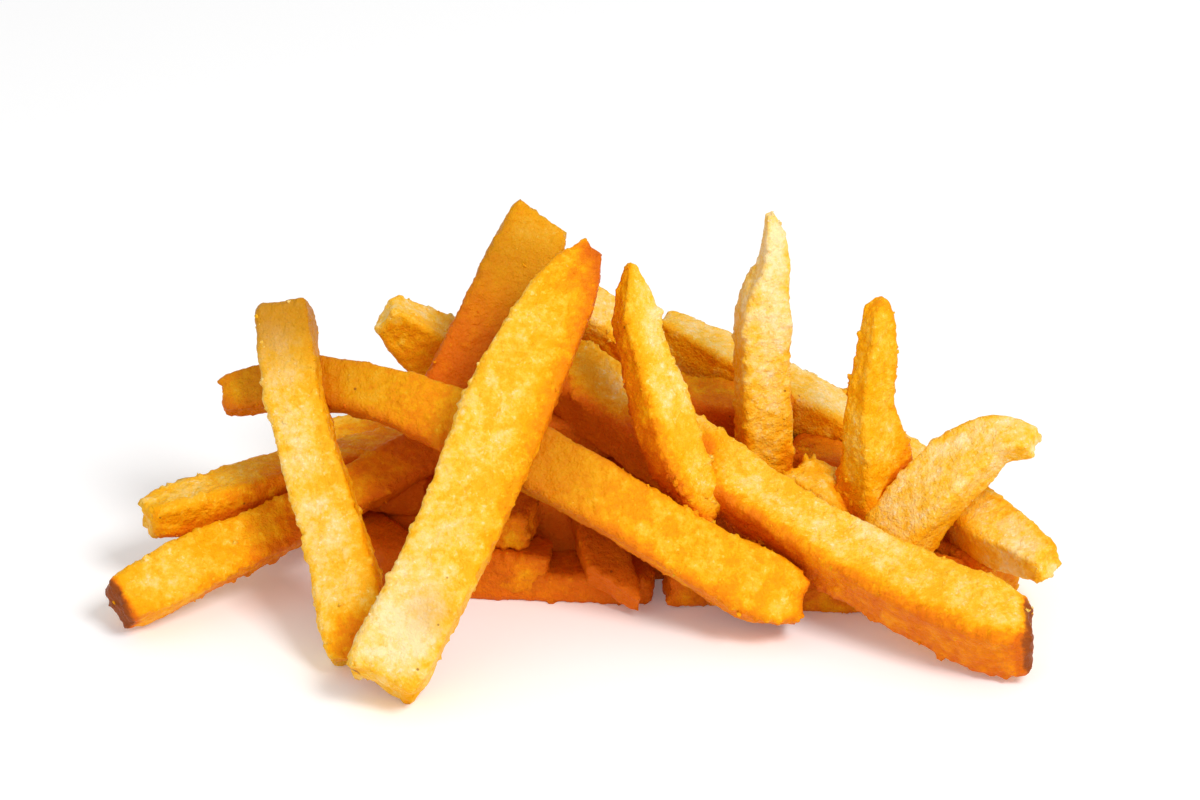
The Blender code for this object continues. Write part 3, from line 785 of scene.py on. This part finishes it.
class FryGroup:
    """What the operators for a group of fries share."""

    grain = "grain"

    def execute(self, context):
        sizes = context.scene.fries_sizes
        material = crust_material("Golden crust", context.scene.fries_colours)
        fries_object(self.piece, self.fries, getattr(sizes, self.grain), sizes.seed + self.first_seed,
                     material, sizes)
        return {"FINISHED"}


class FRIES_OT_leaning(FryGroup, Operator):
    """Adds the fries that lean on the others"""

    bl_idname = "fries.leaning"
    bl_label = "Leaning fries"
    piece = "leaning_fries"
    fries = LEANING_FRIES
    first_seed = 0


class FRIES_OT_front_crossing(FryGroup, Operator):
    """Adds the long fries that cross the heap in front"""

    bl_idname = "fries.front_crossing"
    bl_label = "Front crossing fries"
    piece = "front_crossing_fries"
    fries = FRONT_CROSSING_FRIES
    first_seed = 100


class FRIES_OT_upper_crossing(FryGroup, Operator):
    """Adds the fries that cross the heap behind the others"""

    bl_idname = "fries.upper_crossing"
    bl_label = "Upper crossing fries"
    piece = "upper_crossing_fries"
    fries = UPPER_CROSSING_FRIES
    first_seed = 150


class FRIES_OT_upright(FryGroup, Operator):
    """Adds the pointed, bent and short fries"""

    bl_idname = "fries.upright"
    bl_label = "Upright fries"
    piece = "upright_fries"
    fries = UPRIGHT_FRIES
    first_seed = 200


class FRIES_OT_base(FryGroup, Operator):
    """Adds the fries at the foot of the heap that show between the others"""

    bl_idname = "fries.base"
    bl_label = "Base fries"
    piece = "base_fries"
    fries = BASE_FRIES
    first_seed = 300


class FRIES_OT_back(FryGroup, Operator):
    """Adds the fries inside and behind"""

    bl_idname = "fries.back"
    bl_label = "Back fries"
    piece = "back_fries"
    fries = BACK_FRIES
    first_seed = 400
    grain = "back_grain"


class FRIES_OT_crumbs(Operator):
    """Adds the crumbs of loose crust that stick to the fries' edges, and the larger clumps"""

    bl_idname = "fries.crumbs"
    bl_label = "Crumbs"

    def execute(self, context):
        sizes = context.scene.fries_sizes
        draw = random.Random(sizes.seed)
        hosts = [bpy.data.objects[piece.piece].data for piece in FRY_GROUPS]
        places = np.vstack([rows_of(mesh, "co") for mesh in hosts]) / MM
        normals = np.vstack([rows_of(mesh, "normal") for mesh in hosts])
        edge, brown = (np.concatenate([tone_of(mesh, tone) for mesh in hosts]) for tone in ("edge", "brown"))
        ball, faces = crumb_template()
        crumbs = []
        browns_and_shades = []
        crowding = smooth_step(0.0, 0.4, noise_at(places, CROWD_SIZE, sizes.seed))
        chances = np.cumsum((0.06 + edge ** 2) * (0.12 + crowding))
        for _ in range(sizes.crumbs):
            number = int(np.searchsorted(chances, draw.random() * chances[-1]))
            radius = sizes.crumb / MM * (0.5 + 1.3 * draw.random() ** 3)
            crumbs.append(crumb_corners(ball, places[number], normals[number], radius, draw))
            # Each crumb takes its host's tone, painted shade included
            browns_and_shades.append(brown[number] + draw.uniform(-0.2, 0.1))
        for centre, reach, count, radius in CLUMPS:
            near = np.flatnonzero(np.linalg.norm(places - np.array(centre), axis=1) < reach)
            for _ in range(count):
                number = draw.choice(near)
                size = radius * draw.uniform(0.5, 1.1)
                crumbs.append(crumb_corners(ball, places[number], normals[number], size, draw))
                browns_and_shades.append(brown[number] + draw.uniform(-0.15, 0.1))
        mesh = bpy.data.meshes.new("crumbs")
        shifts = np.arange(len(crumbs))[:, None, None] * len(ball)
        mesh.from_pydata(np.vstack(crumbs), [], (faces[None] + shifts).reshape(-1, 3).tolist())
        builder = bmesh.new()
        builder.from_mesh(mesh)
        bpy.data.meshes.remove(mesh)
        tones = {tone: np.zeros(len(builder.verts)) for tone in TONES}
        tones["brown"] = np.repeat(np.clip(browns_and_shades, 0.0, 1.0), len(ball))
        bmesh.ops.translate(builder, vec=CENTRE, verts=builder.verts)
        finish_piece("crust_crumbs", builder, tones,
                     crust_material("Golden crust", context.scene.fries_colours))
        return {"FINISHED"}


class FRIES_OT_stage(Operator):
    """Adds the floor, the soft lights and the camera"""

    bl_idname = "fries.stage"
    bl_label = "Stage"

    def execute(self, context):
        look = context.scene.fries_stage
        scene = context.scene
        builder = bmesh.new()
        bmesh.ops.create_grid(builder, x_segments=2, y_segments=2, size=2.0)
        mesh = bpy.data.meshes.new("floor")
        builder.to_mesh(mesh)
        builder.free()
        floor = bpy.data.objects.new("floor", mesh)
        scene.collection.objects.link(floor)
        paint = bpy.data.materials.new("Pale floor")
        paint.use_nodes = True
        shader = paint.node_tree.nodes["Principled BSDF"]
        shader.inputs["Base Color"].default_value = look.floor
        shader.inputs["Roughness"].default_value = 0.8
        shader.inputs["Emission Color"].default_value = look.floor
        shader.inputs["Emission Strength"].default_value = 0.08
        mesh.materials.append(paint)

        world = bpy.data.worlds.new("Soft sky")
        world.use_nodes = True
        background = world.node_tree.nodes["Background"]
        background.inputs["Color"].default_value = (1.0, 1.0, 1.0, 1.0)
        background.inputs["Strength"].default_value = look.sky
        scene.world = world

        target = (VIEW_CENTRE - CENTRE) * MM
        for name, place, size, share in LIGHTS:
            data = bpy.data.lights.new(name, "AREA")
            data.size = size
            data.energy = look.key * share
            lamp = bpy.data.objects.new(name, data)
            lamp.location = place
            lamp.rotation_euler = (target - Vector(place)).to_track_quat("-Z", "Y").to_euler()
            scene.collection.objects.link(lamp)

        data = bpy.data.cameras.new("camera")
        data.sensor_width = 36.0
        data.lens = look.lens
        data.clip_start = 0.01
        camera = bpy.data.objects.new("camera", data)
        away = Vector((0.0, -math.cos(look.elevation), math.sin(look.elevation)))
        camera.location = target + away * look.distance
        camera.rotation_euler = away.to_track_quat("Z", "Y").to_euler()
        scene.collection.objects.link(camera)
        scene.camera = camera
        scene.view_settings.view_transform = "Standard"
        return {"FINISHED"}


FRY_GROUPS = (FRIES_OT_leaning, FRIES_OT_front_crossing, FRIES_OT_upper_crossing, FRIES_OT_upright,
              FRIES_OT_base, FRIES_OT_back)
PIECES = (FRIES_OT_inner_mound, *FRY_GROUPS, FRIES_OT_crumbs, FRIES_OT_stage)


class FRIES_PT_sidebar(Panel):
    """Lists the heap's pieces in the 3D view's sidebar"""

    bl_label = "Heap of French Fries"
    bl_space_type = "VIEW_3D"
    bl_region_type = "UI"
    bl_category = "Fries"

    def draw(self, context):
        for piece in PIECES:
            self.layout.operator(piece.bl_idname)


CLASSES = (FriesSizes, FriesColours, StageSettings, *PIECES, FRIES_PT_sidebar)


def register():
    for item in CLASSES:
        bpy.utils.register_class(item)
    bpy.types.Scene.fries_sizes = PointerProperty(type=FriesSizes)
    bpy.types.Scene.fries_colours = PointerProperty(type=FriesColours)
    bpy.types.Scene.fries_stage = PointerProperty(type=StageSettings)


def unregister():
    del bpy.types.Scene.fries_stage
    del bpy.types.Scene.fries_colours
    del bpy.types.Scene.fries_sizes
    for item in reversed(CLASSES):
        bpy.utils.unregister_class(item)


def main():
    register()
    bpy.ops.fries.inner_mound()
    bpy.ops.fries.leaning()
    bpy.ops.fries.front_crossing()
    bpy.ops.fries.upper_crossing()
    bpy.ops.fries.upright()
    bpy.ops.fries.base()
    bpy.ops.fries.back()
    bpy.ops.fries.crumbs()
    bpy.ops.fries.stage()


if __name__ == "__main__":
    main()
